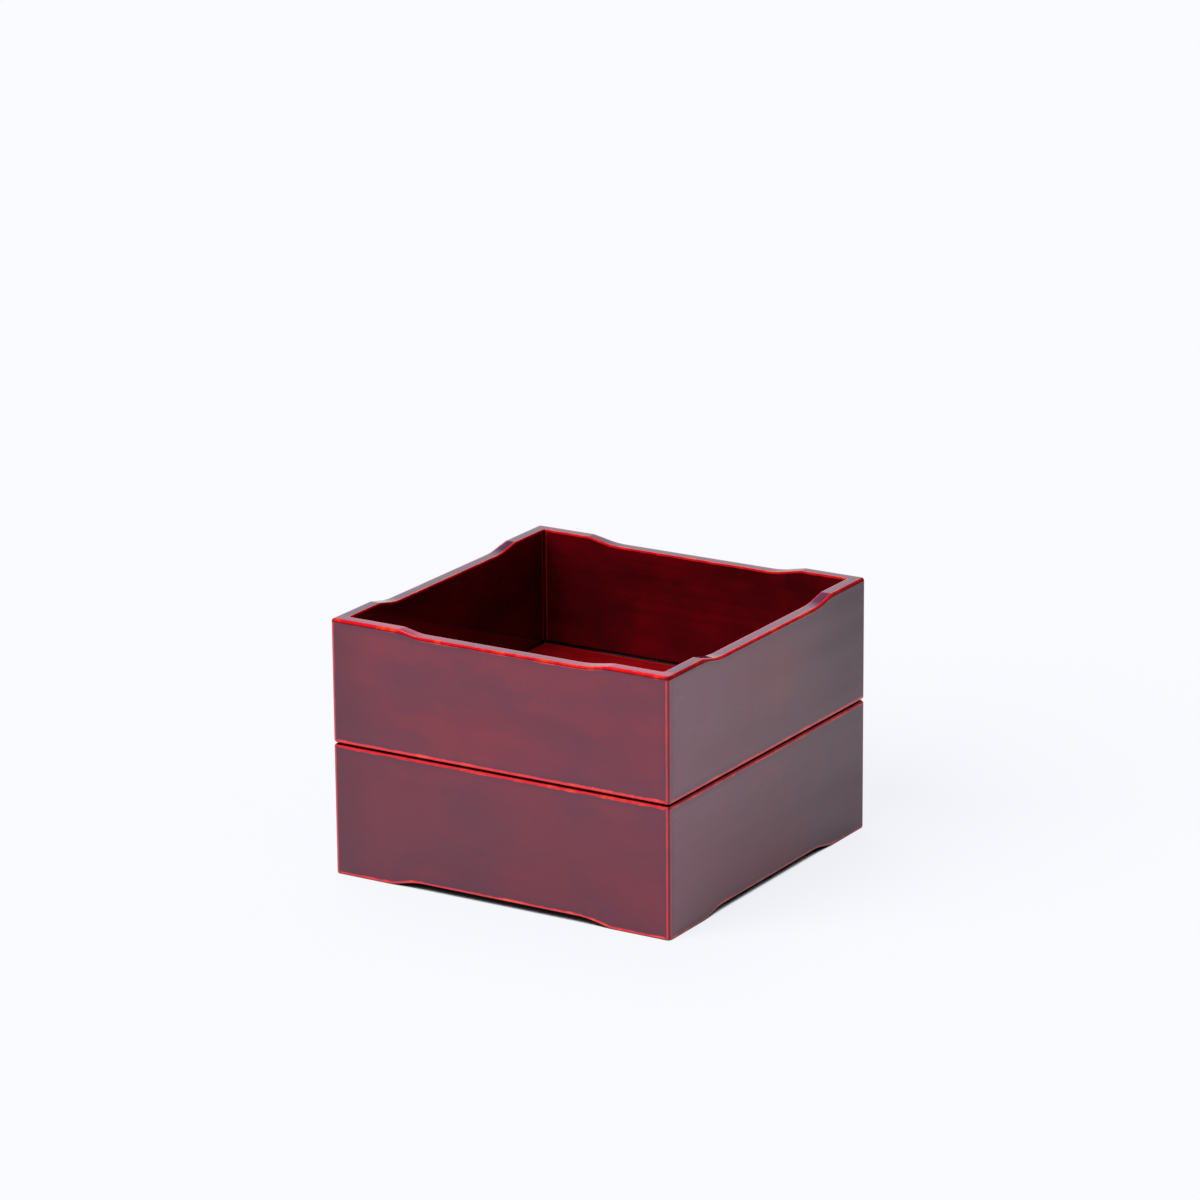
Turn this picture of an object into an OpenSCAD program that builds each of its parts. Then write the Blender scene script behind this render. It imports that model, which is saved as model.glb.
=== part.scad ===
// Two-tier lacquered stacking box. Each tier is four mitred boards round a let-in floor board,
// with a hidden loose tongue across every mitre. The upper tier lifts off the lower one.
// Origin: centre of the base, on the surface that the feet stand on. X is the width, Z is up.

/* [Box] */
// Outer width and depth of the square box
box_w = 180; // [150:1:240]
// Height from the ground to the plane where the tiers meet
lower_h = 63.2; // [50:0.1:90]
// Height from that plane to the top of the upper rim
upper_h = 60.3; // [45:0.1:90]
// Thickness of the wall boards
wall_t = 6.5; // [5.7:0.1:7.5]

/* [Scooped edges] */
// Flat land of the upper rim, from each outer corner to the crease
rim_land = 31.5; // [22:0.5:40]
// Depth of the scoop in the upper rim
rim_scoop = 2.75; // [1:0.05:4]
// Depth of the front board's scoop, which is the shallowest
front_scoop = 2; // [1:0.05:4]
// How much farther from its corner the front board's left crease lies
front_left_shift = 5.5; // [0:0.5:8]
// Length of each foot, from the outer corner to the crease
foot_land = 31; // [22:0.5:40]
// Rise of the arch between the feet
foot_arch = 2.9; // [1:0.05:3.2]
// Length of the slope between a crease and the flat middle of a scoop
slope_run = 18; // [12:0.5:26]
// Share of that slope that is straight before it eases into the flat
slope_straight = 0.47; // [0.1:0.01:0.8]

/* [Rounded arrises] */
// Radius of the upright corners, larger than that of the arrises which run round them
corner_r = 1.8; // [1.7:0.1:2.4]
// Radius of the outer arris of the upper rim on its lands
rim_outer_r = 1.6; // [0.6:0.1:1.6]
// Radius of that arris in a scoop
scoop_outer_r = 1.2; // [0.6:0.1:1.6]
// Radius of the inner arris of the upper rim
rim_inner_r = 0.5; // [0.3:0.1:1.5]
// Radius of the arrises on both sides of the seam
seam_r = 1.5; // [0.4:0.1:1.6]
// Height of the open gap between the tiers, behind those arrises
seam_gap = 0.5; // [0.1:0.05:0.6]
// Depth of that gap behind the arrises
seam_gap_in = 0.9; // [0.4:0.1:0.9]
// Radius of the arrises under the feet and the arch
foot_r = 0.8; // [0.4:0.1:1.5]

/* [Floor boards] */
// Thickness of the flange that the walls hold
flange_t = 2.8; // [2:0.1:3.2]
// How far the flange is let into the walls
flange_in = 2.6; // [1.5:0.1:3]
// Clearance between the upper floor's flange and the lower rim
flange_gap = 0.3; // [0.1:0.1:0.6]
// Depth of the step under the upper floor that drops into the lower tier
step_drop = 2.4; // [1.5:0.1:4]
// Side clearance of that step inside the lower rim
step_gap = 0.5; // [0.2:0.1:1]
// Height of the lower floor's underside above the ground
lower_floor_z = 3.8; // [3.4:0.1:6]
// Depth of the lower floor's underside below its flange
lower_step = 1.6; // [1:0.1:3]

/* [Mitre tongues] */
// Thickness of a loose tongue
tongue_t = 1.6; // [1:0.1:1.8]
// Width of a loose tongue across the mitre
tongue_w = 5; // [3:0.1:5.4]
// Depth of the tongue's middle behind the outer faces
tongue_in = 3.6; // [3.4:0.1:3.8]
// Length of wood left above and below a tongue
tongue_stop = 5; // [4:0.5:12]

/* [Hidden] */
$fn = 96;

box_h = lower_h + upper_h;
inner_w = box_w - 2 * wall_t;
flange_w = inner_w + 2 * flange_in;

// Heights of the floor boards
upper_flange_z = lower_h + flange_gap;
upper_floor_top = upper_flange_z + flange_t;
lower_flange_z = lower_floor_z + lower_step;
lower_floor_top = lower_flange_z + flange_t;

// Steps in which arrises, upright corners and the easing arc of a scoop are drawn
arris_steps = 3;
corner_steps = 2;
arc_steps = 4;
// How far the inner points of a wall's cross-section spread along it beside the mitre
mitre_spread = 0.6;

// Lacquer of the walls, lacquer of the floors, and the bare wood of the tongues
wall_colour = [0.36, 0.11, 0.13];
floor_colour = [0.34, 0.01, 0.02];
wood_colour = [0.82, 0.68, 0.47];

// Scooped edge: level land, crease, straight slope, arc easing into the level middle
plain_scoop = [rim_land, slope_run, -rim_scoop];

// Share of a scoop's depth reached at a distance past the crease. The arc after the straight part
// of the slope has half its steepness on average, so both together reach the full depth.
function share_at(way, run) =
    let (
        straight = run * slope_straight,
        arc = run - straight,
        straight_share = straight / (straight + arc / 2)
    )
    way <= 0 ? 0
    : way <= straight ? straight_share * way / straight
    : way >= run ? 1
    : 1 - (1 - straight_share) * pow((run - way) / arc, 2);

// Places along half a wall where its cross-section is set, as distances from the outer corner
function edge_stations(land, run) = concat(
    [land],
    [for (i = [0 : arc_steps]) land + run * (slope_straight + (1 - slope_straight) * i / arc_steps)]
);

// Points of a quarter-round arris: centre, radius, first angle; the quarter is turned clockwise
function arris(across, height, radius, first) =
    [for (i = [0 : arris_steps])
        let (angle = first - 90 * i / arris_steps)
        [across + radius * cos(angle), height + radius * sin(angle)]];

// Cross-section points marked with how far they follow a scoop, 1 fully and 0 not at all
function marked(points, follow) = [for (p = points) [p[0], p[1], follow]];

// Place of a cross-section point at one station of the left half of the front wall. The point is
// given as it is on the land and as it is deep in the scoop. A station is [angle round the upright
// corner, distance from the corner along the wall], and a scoop [land, run of its slope, depth].
function placed(on_land, in_scoop, station, scoop) =
    let (
        half = box_w / 2,
        share = share_at(station[1] - scoop[0], scoop[1]),
        p = on_land + share * (in_scoop - on_land),
        turn = station[0],
        spread = mitre_spread * (1 - turn / 45),
        across = station[1] > 0 ? p[0]
            : p[0] < corner_r ? corner_r - (corner_r - p[0]) * cos(turn)
            : p[0],
        along = station[1] > 0 ? station[1]
            : p[0] < corner_r ? corner_r - (corner_r - p[0]) * sin(turn)
            : p[0] + spread
    )
    [along - half, across - half, p[1] + p[2] * share * scoop[2]];

// Sections of the left half of a board, from its mitre to the middle of its scoop
function half_rings(on_land, in_scoop, scoop) =
    let (
        corner = [for (i = [0 : corner_steps]) [45 - 45 * i / corner_steps, 0]],
        straight = [for (way = edge_stations(scoop[0], scoop[1])) [0, way]]
    )
    [for (s = concat(corner, straight))
        [for (j = [0 : len(on_land) - 1]) placed(on_land[j], in_scoop[j], s, scoop)]];

// Board lofted through its cross-sections: mitred, rounded at the upright corners, and scooped
// along an edge with a slope on the left and one on the right
module lofted_wall(on_land, in_scoop, left_scoop, right_scoop) {
    left = half_rings(on_land, in_scoop, left_scoop);
    right = half_rings(on_land, in_scoop, right_scoop);
    mirrored = [for (i = [len(right) - 1 : -1 : 0]) [for (p = right[i]) [-p[0], p[1], p[2]]]];
    rings = concat(left, mirrored);
    n = len(on_land);
    sides = [for (i = [0 : len(rings) - 2], j = [0 : n - 1])
        let (k = (j + 1) % n)
        each [[i * n + j, (i + 1) * n + k, (i + 1) * n + j], [i * n + j, i * n + k, (i + 1) * n + k]]];
    mitre_faces = [[for (j = [n - 1 : -1 : 0]) j], [for (j = [0 : n - 1]) (len(rings) - 1) * n + j]];
    polyhedron(points = [for (ring = rings) each ring], faces = concat(sides, mitre_faces));
}

// Loose tongue across the mitre at -X, -Y, from one height to another
module tongue(low, high) {
    corner = -box_w / 2 + tongue_in;
    translate([corner, corner, (low + high) / 2])
        rotate(-45) cube([tongue_w, tongue_t, high - low], center = true);
}

// Turns a shape made for the front wall, or for the corner left of it, round the box
module turned(quarter) {
    rotate(90 * quarter) children();
}

// Slab with rounded lower arrises, used for the step under the upper floor
module step_section(width, height, arris_r) {
    translate([-width / 2, arris_r]) square([width, height - arris_r]);
    translate([-width / 2 + arris_r, 0]) square([width - 2 * arris_r, height]);
    for (side = [-1, 1]) translate([side * (width / 2 - arris_r), arris_r]) circle(arris_r);
}

module locating_step(width, height, arris_r) {
    intersection() {
        rotate([90, 0, 0])
            linear_extrude(width, center = true) step_section(width, height, arris_r);
        rotate([90, 0, 90])
            linear_extrude(width, center = true) step_section(width, height, arris_r);
    }
}

// Lower tier: arched between its feet, level at the rim, with a groove for the floor
module lower_tongue_bar() {
    tongue(lower_floor_top + tongue_stop, lower_h - tongue_stop);
}

module lower_wall() {
    groove_d = wall_t - flange_in;
    section = concat(
        marked(arris(foot_r, foot_r, foot_r, 270), 1),
        marked(arris(seam_r, lower_h - seam_r, seam_r, 180), 0),
        marked(arris(wall_t - seam_r, lower_h - seam_r, seam_r, 90), 0),
        marked([[wall_t, lower_floor_top], [groove_d, lower_floor_top]], 0),
        marked([[groove_d, lower_flange_z], [wall_t, lower_flange_z]], 0),
        marked(arris(wall_t - foot_r, foot_r, foot_r, 0), 1)
    );
    arch = [foot_land, slope_run, foot_arch];
    color(wall_colour) difference() {
        lofted_wall(section, section, arch, arch);
        lower_tongue_bar();
        turned(1) lower_tongue_bar();
    }
}

module lower_floor_board() {
    color(floor_colour) {
        translate([-flange_w / 2, -flange_w / 2, lower_flange_z])
            cube([flange_w, flange_w, flange_t]);
        translate([-inner_w / 2, -inner_w / 2, lower_floor_z])
            cube([inner_w, inner_w, lower_step + flange_t]);
    }
}

// Upper tier: stands on a strip behind the gap of the seam, rebated for the floor, scooped at the rim
module upper_tongue_bar() {
    tongue(upper_floor_top + tongue_stop, box_h - tongue_stop);
}

// Cross-section of its walls, given the radius of the rim's outer arris
function upper_section(outer_r) =
    let (
        rebate_d = wall_t - flange_in,
        gap_end = seam_r + seam_gap_in
    )
    concat(
        marked(arris(seam_r, lower_h + seam_gap + seam_r, seam_r, 270), 0),
        marked(arris(outer_r, box_h - outer_r, outer_r, 180), 1),
        marked(arris(wall_t - rim_inner_r, box_h - rim_inner_r, rim_inner_r, 90), 1),
        marked([[wall_t, upper_floor_top], [rebate_d, upper_floor_top], [rebate_d, lower_h]], 0),
        marked([[gap_end + seam_gap, lower_h], [gap_end, lower_h + seam_gap]], 0)
    );

module upper_wall(left_scoop = plain_scoop, right_scoop = plain_scoop) {
    on_land = upper_section(rim_outer_r);
    in_scoop = upper_section(scoop_outer_r);
    color(wall_colour) difference() {
        lofted_wall(on_land, in_scoop, left_scoop, right_scoop);
        upper_tongue_bar();
        turned(1) upper_tongue_bar();
    }
}

// Front board: its scoop is shallower, and the left slope starts later but ends like the others
module upper_front_board() {
    upper_wall(
        [rim_land + front_left_shift, slope_run - front_left_shift, -front_scoop],
        [rim_land, slope_run, -front_scoop]
    );
}

module upper_floor_board() {
    step_w = inner_w - 2 * step_gap;
    color(floor_colour) {
        translate([-flange_w / 2, -flange_w / 2, upper_flange_z])
            cube([flange_w, flange_w, flange_t]);
        translate([0, 0, lower_h - step_drop])
            locating_step(step_w, step_drop + flange_gap + flange_t / 2, seam_r);
    }
}

lower_wall();  // lower_front_wall
turned(1) lower_wall();  // lower_right_wall
turned(2) lower_wall();  // lower_back_wall
turned(3) lower_wall();  // lower_left_wall
lower_floor_board();  // lower_floor
color(wood_colour) lower_tongue_bar();  // lower_front_left_tongue
color(wood_colour) turned(1) lower_tongue_bar();  // lower_front_right_tongue
color(wood_colour) turned(2) lower_tongue_bar();  // lower_back_right_tongue
color(wood_colour) turned(3) lower_tongue_bar();  // lower_back_left_tongue

upper_front_board();  // upper_front_wall
turned(1) upper_wall();  // upper_right_wall
turned(2) upper_wall();  // upper_back_wall
turned(3) upper_wall();  // upper_left_wall
upper_floor_board();  // upper_floor
color(wood_colour) upper_tongue_bar();  // upper_front_left_tongue
color(wood_colour) turned(1) upper_tongue_bar();  // upper_front_right_tongue
color(wood_colour) turned(2) upper_tongue_bar();  // upper_back_right_tongue
color(wood_colour) turned(3) upper_tongue_bar();  // upper_back_left_tongue
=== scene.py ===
import math

import bpy
import numpy as np
from mathutils import Matrix, Vector


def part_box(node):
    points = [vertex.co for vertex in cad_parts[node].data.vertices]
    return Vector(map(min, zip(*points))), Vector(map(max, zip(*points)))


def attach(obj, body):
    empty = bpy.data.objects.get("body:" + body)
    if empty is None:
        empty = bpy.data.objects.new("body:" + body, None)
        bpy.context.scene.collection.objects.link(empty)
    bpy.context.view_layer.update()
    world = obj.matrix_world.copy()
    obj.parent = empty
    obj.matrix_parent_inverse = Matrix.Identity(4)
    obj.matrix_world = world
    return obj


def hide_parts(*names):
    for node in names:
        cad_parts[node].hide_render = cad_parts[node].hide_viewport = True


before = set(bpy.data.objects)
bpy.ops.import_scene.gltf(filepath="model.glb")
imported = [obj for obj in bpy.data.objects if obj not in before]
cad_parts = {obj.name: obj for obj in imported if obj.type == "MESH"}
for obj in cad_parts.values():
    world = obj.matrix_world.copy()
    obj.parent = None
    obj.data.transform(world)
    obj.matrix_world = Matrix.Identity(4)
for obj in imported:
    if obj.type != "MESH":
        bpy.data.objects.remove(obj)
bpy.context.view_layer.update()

MM = 0.001

# The box as the frame gives it
LOWER_LOW, LOWER_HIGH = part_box("lower_front_wall")
UPPER_LOW, UPPER_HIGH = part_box("upper_front_wall")
HALF = -LOWER_LOW[1]
WALL_T = LOWER_HIGH[1] - LOWER_LOW[1]
SEAM_Z = LOWER_HIGH[2]
RIM_Z = UPPER_HIGH[2]
INNER_HALF = HALF - WALL_T
LOWER_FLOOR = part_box("lower_floor")
UPPER_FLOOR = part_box("upper_floor")

# Joinery of the floor boards
FLANGE_T = 2.8 * MM
FLANGE_IN = LOWER_FLOOR[1][0] - INNER_HALF
STEP_GAP = 0.5 * MM
# Open gap between the tiers, behind the arrises of the seam
SEAM_GAP = 0.5 * MM
SEAM_GAP_IN = 0.9 * MM

# Scoops: land from the corner to the crease, run of the slope, and signed drop of the edge
RIM_SCOOP = (31.5 * MM, 18 * MM, -2.75 * MM)
FRONT_LEFT_SCOOP = (37 * MM, 12.5 * MM, -2 * MM)
FRONT_RIGHT_SCOOP = (31.5 * MM, 18 * MM, -2 * MM)
FOOT_ARCH = (31 * MM, 18 * MM, 2.9 * MM)
# Share of a slope that is straight before it eases into the level middle
STRAIGHT = 0.47
# Half the length over which a crease is softened by the lacquer
CREASE_SOFT = 0.35 * MM

# Radii of the arrises, of the upright corners, and of the lacquer that lies in the inner corners
CORNER_R = 1.8 * MM
RIM_OUTER_R = 1.6 * MM
SCOOP_OUTER_R = 1.2 * MM
RIM_INNER_R = 0.5 * MM
SEAM_R = 1.5 * MM
# Beside the seam more of the face is rubbed than beside the other arrises
SEAM_WORN = 0.6
FOOT_R = 0.8 * MM
# Rise of the rim's crowned top between its arrises
RIM_CROWN = 0.04 * MM
# How far past the crease the arris has narrowed
SCOOP_BLEND = 4 * MM
POOL_R = 0.9 * MM
SMALL_R = 0.15 * MM
# How far the pooled lacquer's outline is sunk into the boards, so that no gap shows
POOL_SUNK = 0.03 * MM
# Distance to the nearest arris that is given where none is near
FAR = 20 * MM

# Measures that the meshes carry for their materials: distances in millimetres, then two shares
MEASURES = ("arris", "upright", "corner", "sole", "crease", "on_top", "groove")

# Fineness of the meshes
ARRIS_STEPS = 8
CORNER_STEPS = 7
ARC_STEPS = 12
# Distances of a face's rows from an arris
BESIDE_ARRIS = (0.4 * MM, 1.0 * MM, 2.0 * MM, 3.5 * MM, 6 * MM, 10 * MM)
# Distances from the walls at which rings of a floor's top lie
FLOOR_INSETS = (60 * MM, 20 * MM, 8 * MM, 3 * MM, 1.5 * MM)


# Cross-sections. A point is (depth behind the outer face, height, follow, way, on_top, groove).
# follow says how far it goes with a scoop, way is the distance over the surface to the nearest
# arris, on_top is 1 on the rim's top, and groove grows to 1 inside the seam and up to 1.5 under the
# foot, where painted shade lies.

def arris(across, height, radius, first, follow, on_top=(0, 0), groove=(0, 0), worn=1):
    """Quarter-round arris turned clockwise from the angle first, in degrees."""
    points = []
    for i in range(ARRIS_STEPS + 1):
        turned = i / ARRIS_STEPS
        angle = math.radians(first - 90 * turned)
        way = abs(turned - 0.5) * radius * math.pi / 2 * worn
        point = (across + radius * math.cos(angle), height + radius * math.sin(angle))
        shares = [low + (high - low) * turned for low, high in (on_top, groove)]
        points.append((*point, follow, way, *shares))
    return points


def face_rows(low, high, low_follow, high_follow, low_way, high_way, across):
    """Rows up or down a flat face between two arrises, closer together beside them."""
    length = abs(high - low)
    beside = [way / length for way in BESIDE_ARRIS]
    shares = beside + [0.3, 0.5, 0.7] + [1 - share for share in reversed(beside)]
    rows = []
    for share in shares:
        follow = low_follow + (high_follow - low_follow) * share
        way = min(low_way + share * length, high_way + (1 - share) * length)
        rows.append((across, low + (high - low) * share, follow, way, 0, 0))
    return rows


def flat_rows(start, end, height, follow, way, crown=0, on_top=0, groove=0):
    """Rows across the top or underside of a wall between two arrises, level or slightly crowned."""
    rows = []
    for share in (0.1, 0.25, 0.4, 0.5, 0.6, 0.75, 0.9):
        rise = crown * (4 * share * (1 - share) - 1)
        reach = way + min(share, 1 - share) * abs(end - start)
        rows.append((start + (end - start) * share, height + rise, follow, reach, on_top, groove))
    return rows


def corner_points(points):
    """Sharp corners of a groove or rebate, eased by a very small bevel."""
    eased = []
    for before, here, after in zip(points, points[1:], points[2:]):
        for other in (before, after):
            away = np.subtract(other, here)
            place = np.array(here) + away / np.linalg.norm(away) * SMALL_R
            eased.append((*place, 0, FAR, 0, 1))
    return eased


def quarter_way(radius):
    """Distance over the surface from the end of an arris to its middle."""
    return radius * math.pi / 4


def upper_section(outer_r):
    """Upper wall, given the radius of the rim's outer arris."""
    bottom, top, floor_top = UPPER_LOW[2], RIM_Z, UPPER_FLOOR[1][2]
    rebate = WALL_T - FLANGE_IN
    gap_end = SEAM_R + SEAM_GAP_IN
    seam = bottom + SEAM_GAP + SEAM_R
    arris_top = top - RIM_CROWN
    outer_top = arris_top - outer_r
    outer = face_rows(
        seam, outer_top, 0, 1, quarter_way(SEAM_R) * SEAM_WORN, quarter_way(outer_r), 0
    )
    inner = face_rows(
        floor_top, arris_top - RIM_INNER_R, 0, 1, FAR, quarter_way(RIM_INNER_R), WALL_T
    )
    top_rows = flat_rows(
        outer_r, WALL_T - RIM_INNER_R, top, 1, quarter_way(outer_r), RIM_CROWN, 1
    )
    return (
        arris(SEAM_R, seam, SEAM_R, 270, 0, groove=(1, 0), worn=SEAM_WORN)
        + outer
        + arris(outer_r, outer_top, outer_r, 180, 1, on_top=(0, 1))
        + top_rows
        + arris(WALL_T - RIM_INNER_R, arris_top - RIM_INNER_R, RIM_INNER_R, 90, 1, on_top=(1, 0))
        + inner[::-1]
        + corner_points([
            (WALL_T, top), (WALL_T, floor_top), (rebate, floor_top), (rebate, bottom),
            (gap_end + SEAM_GAP, bottom), (gap_end, bottom + SEAM_GAP), (0, bottom + SEAM_GAP),
        ])
    )


def lower_section():
    """Lower wall, from the foot's outer arris round to its underside."""
    bottom, top = 0, SEAM_Z
    flange_top = LOWER_FLOOR[1][2]
    flange_low = flange_top - FLANGE_T
    groove = WALL_T - FLANGE_IN
    outer = face_rows(
        bottom + FOOT_R, top - SEAM_R, 1, 0, quarter_way(FOOT_R), quarter_way(SEAM_R), 0
    )
    inner = face_rows(flange_top, top - SEAM_R, 0, 0, FAR, quarter_way(SEAM_R), WALL_T)
    return (
        arris(FOOT_R, FOOT_R, FOOT_R, 270, 1, groove=(1.5, 0))
        + outer
        + arris(SEAM_R, top - SEAM_R, SEAM_R, 180, 0, groove=(0, 1))
        + flat_rows(SEAM_R, WALL_T - SEAM_R, top, 0, quarter_way(SEAM_R), groove=1)
        + arris(WALL_T - SEAM_R, top - SEAM_R, SEAM_R, 90, 0)
        + inner[::-1]
        + corner_points([
            (WALL_T, top), (WALL_T, flange_top), (groove, flange_top), (groove, flange_low),
            (WALL_T, flange_low), (WALL_T, 0),
        ])
        + arris(WALL_T - FOOT_R, FOOT_R, FOOT_R, 0, 1, groove=(0, 1.5))
        + flat_rows(WALL_T - FOOT_R, FOOT_R, bottom, 1, quarter_way(FOOT_R), groove=1)
    )


# Walls

def scoop_share(way, run):
    """Share of a scoop's depth at a distance past its crease, with the crease softened."""
    straight = STRAIGHT * run
    straight_share = straight / (straight + (run - straight) / 2)
    slope = straight_share / straight
    if way <= -CREASE_SOFT:
        return 0
    if way < CREASE_SOFT:
        return slope * (way + CREASE_SOFT) ** 2 / (4 * CREASE_SOFT)
    if way <= straight:
        return slope * way
    if way >= run:
        return 1
    return 1 - (1 - straight_share) * ((run - way) / (run - straight)) ** 2


def wall_stations(land, run):
    """Stations of half a wall: (angle round the upright corner, distance along the wall)."""
    corner = [(math.pi / 4 * (1 - i / CORNER_STEPS), 0) for i in range(CORNER_STEPS + 1)]
    beside = [WALL_T + POOL_R + i * MM for i in (0.2, 1, 3.5, 7.5, 14)] + [land - 2 * MM]
    crease = [land + CREASE_SOFT * i for i in (-1.6, -1, -0.5, 0, 0.5, 1, 1.6)]
    slope = [land + run * STRAIGHT * i for i in (0.2, 0.4, 0.6, 0.8, 1)]
    arc_run = run * (1 - STRAIGHT)
    arc = [slope[-1] + arc_run * (i + 1) / ARC_STEPS for i in range(ARC_STEPS)]
    level = [arc[-1] + (HALF - arc[-1]) * i / 4 for i in range(1, 5)]
    return corner + [(0, way) for way in beside + crease + slope + arc + level]


def corner_place(depth, turn):
    """(along, across) of a point at one angle round the upright corner: round outside, a small
    fillet of lacquer inside, and a blend of the two on the flats between."""
    d_out, d_in = RIM_OUTER_R, WALL_T - RIM_OUTER_R
    sin, cos = math.sin(turn), math.cos(turn)
    share = min(max((depth - d_out) / (d_in - d_out), 0), 1)
    radius_out = CORNER_R - min(depth, d_out)
    outer = (CORNER_R - radius_out * sin, CORNER_R - radius_out * cos)
    centre = WALL_T + POOL_R
    radius_in = centre - max(depth, d_in)
    inner = (centre - radius_in * sin, centre - radius_in * cos)
    return [o + (i - o) * share for o, i in zip(outer, inner)]


def upright_way(station, depth):
    """Distance over the outer face to the upright arris."""
    turn, along = station
    if along:
        return along - CORNER_R + CORNER_R * math.pi / 4
    return CORNER_R * (math.pi / 4 - turn) + (depth if depth > RIM_OUTER_R else 0)


def corner_way(station):
    """Distance over the inner face to the upright inner corner."""
    turn, along = station
    return max(along - WALL_T, 0) if along else POOL_R * (math.pi / 4 - turn)


def half_rings(sections, scoop, floor_top):
    """Points of the left half of a front wall, from its mitre to its middle, and their measures.
    sections are its cross-section on the land and the one in the scoop."""
    land, run, drop = scoop
    rings, measures = [], []
    for station in wall_stations(land, run):
        share = scoop_share(station[1] - land, run)
        blend = min(max((station[1] - land) / SCOOP_BLEND, 0), 1)
        section = sections[0] + blend * (sections[1] - sections[0])
        ring, facts = [], []
        for depth, height, follow, way, on_top, groove in section:
            if station[1]:
                along, across = station[1], depth
            else:
                along, across = corner_place(depth, station[0])
            ring.append((along - HALF, across - HALF, height + follow * share * drop))
            facts.append((
                way, upright_way(station, depth), corner_way(station), abs(height - floor_top),
                abs(station[1] - land), on_top * MM, groove * MM,
            ))
        rings.append(ring)
        measures.append(facts)
    return np.array(rings), np.array(measures)


def wall_rings(sections, left_scoop, right_scoop, floor_top):
    """Points of a front wall from its left mitre to its right one, and the measures of each."""
    left, left_facts = half_rings(sections, left_scoop, floor_top)
    right, right_facts = half_rings(sections, right_scoop, floor_top)
    right = right[-2::-1] * (-1, 1, 1)
    return np.concatenate([left, right]), np.concatenate([left_facts, right_facts[-2::-1]])


def ring_faces(count, around):
    """Faces between one ring of points and the next, and apart from them the two end faces."""
    between = [
        (i * around + j, (i + 1) * around + j, (i + 1) * around + k, i * around + k)
        for i in range(count - 1)
        for j in range(around)
        for k in [(j + 1) % around]
    ]
    first = tuple(range(around))
    last = tuple(reversed(range((count - 1) * around, count * around)))
    return between, [first, last]


def area_normals(points, faces):
    """Normal of each point, weighted by the area of the faces round it."""
    normals = np.zeros_like(points)
    for face in faces:
        corners = points[list(face)]
        area = np.zeros(3)
        for a, b in zip(corners[1:], corners[2:]):
            area += np.cross(a - corners[0], b - corners[0])
        normals[list(face)] += area
    lengths = np.linalg.norm(normals, axis=1, keepdims=True)
    return normals / np.maximum(lengths, 1e-20)


def new_piece(name, points, faces, normals, measures, body, node, materials, indices):
    """A mesh piece with its own normals and measures in millimetres, in place of a CAD node."""
    mesh = bpy.data.meshes.new(name)
    mesh.from_pydata([tuple(p) for p in points], [], faces)
    for material in materials:
        mesh.materials.append(material)
    mesh.polygons.foreach_set("material_index", indices)
    mesh.polygons.foreach_set("use_smooth", [True] * len(faces))
    for label, values in measures.items():
        layer = mesh.attributes.new(label, "FLOAT", "POINT")
        layer.data.foreach_set("value", np.asarray(values, dtype=np.float32) / MM)
    mesh.normals_split_custom_set_from_vertices([tuple(n) for n in normals])
    mesh.update()
    piece = bpy.data.objects.new(name, mesh)
    bpy.context.scene.collection.objects.link(piece)
    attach(piece, body)
    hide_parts(node)
    return piece


def rubbed_rows(section):
    """Rows of the rim's arrises where the undercoat lies bare: all of the inner one, and the outer
    one but for its topmost part."""
    outer_low = RIM_Z - RIM_OUTER_R - RIM_CROWN * 2
    inner_low = RIM_Z - RIM_CROWN - RIM_INNER_R * 0.9
    outer_end = RIM_OUTER_R * 0.6
    inner_start = (WALL_T - RIM_INNER_R) * 0.999
    rows = set()
    for j, (depth, height) in enumerate(section[:, :2]):
        on_outer = depth < outer_end and height > outer_low
        on_inner = depth >= inner_start and height > inner_low
        if on_outer or on_inner:
            rows.add(j)
    return rows


def turn_mitre_normals(normals, count, around):
    """On a mitre the surface goes on into the next wall, so its normal lies in the mitre plane."""
    for ring, plane in ((0, Vector((1, -1, 0))), (count - 1, Vector((1, 1, 0)))):
        across = np.array(plane.normalized())
        chosen = slice(ring * around, (ring + 1) * around)
        normals[chosen] -= np.outer(normals[chosen] @ across, across)
        normals[chosen] /= np.linalg.norm(normals[chosen], axis=1, keepdims=True)


def wall_materials(tier, section, faces):
    """Which material each face has: 0 outside, 1 inside, 2 on the rubbed arrises of the rim."""
    around = len(section)
    inside = section[:, 0] > WALL_T - RIM_INNER_R * 0.3
    indices = [int(inside[f[0] % around] and inside[f[3] % around]) for f in faces]
    if tier == "lower":
        return indices
    rubbed = rubbed_rows(section)
    return [2 if f[0] % around in rubbed else i for f, i in zip(faces, indices)]


def make_wall(tier, side, quarter, sections, scoops, floor_top, materials):
    """One mitred wall of a tier, turned into place."""
    rings, facts = wall_rings(sections, *scoops, floor_top)
    count, around = rings.shape[:2]
    points = rings.reshape(-1, 3)
    between, ends = ring_faces(count, around)
    normals = area_normals(points, between)
    turn_mitre_normals(normals, count, around)
    turn = np.array(Matrix.Rotation(math.pi / 2 * quarter, 3, "Z"))
    indices = wall_materials(tier, sections[0], between) + [0, 0]
    measures = dict(zip(MEASURES, facts.reshape(-1, len(MEASURES)).T))
    name = f"{tier}_{side}_wall_lacquered"
    return new_piece(
        name, points @ turn.T, between + ends, normals @ turn.T, measures,
        f"{tier}_tier", f"{tier}_{side}_wall", materials, indices,
    )


# Floor boards

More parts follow.
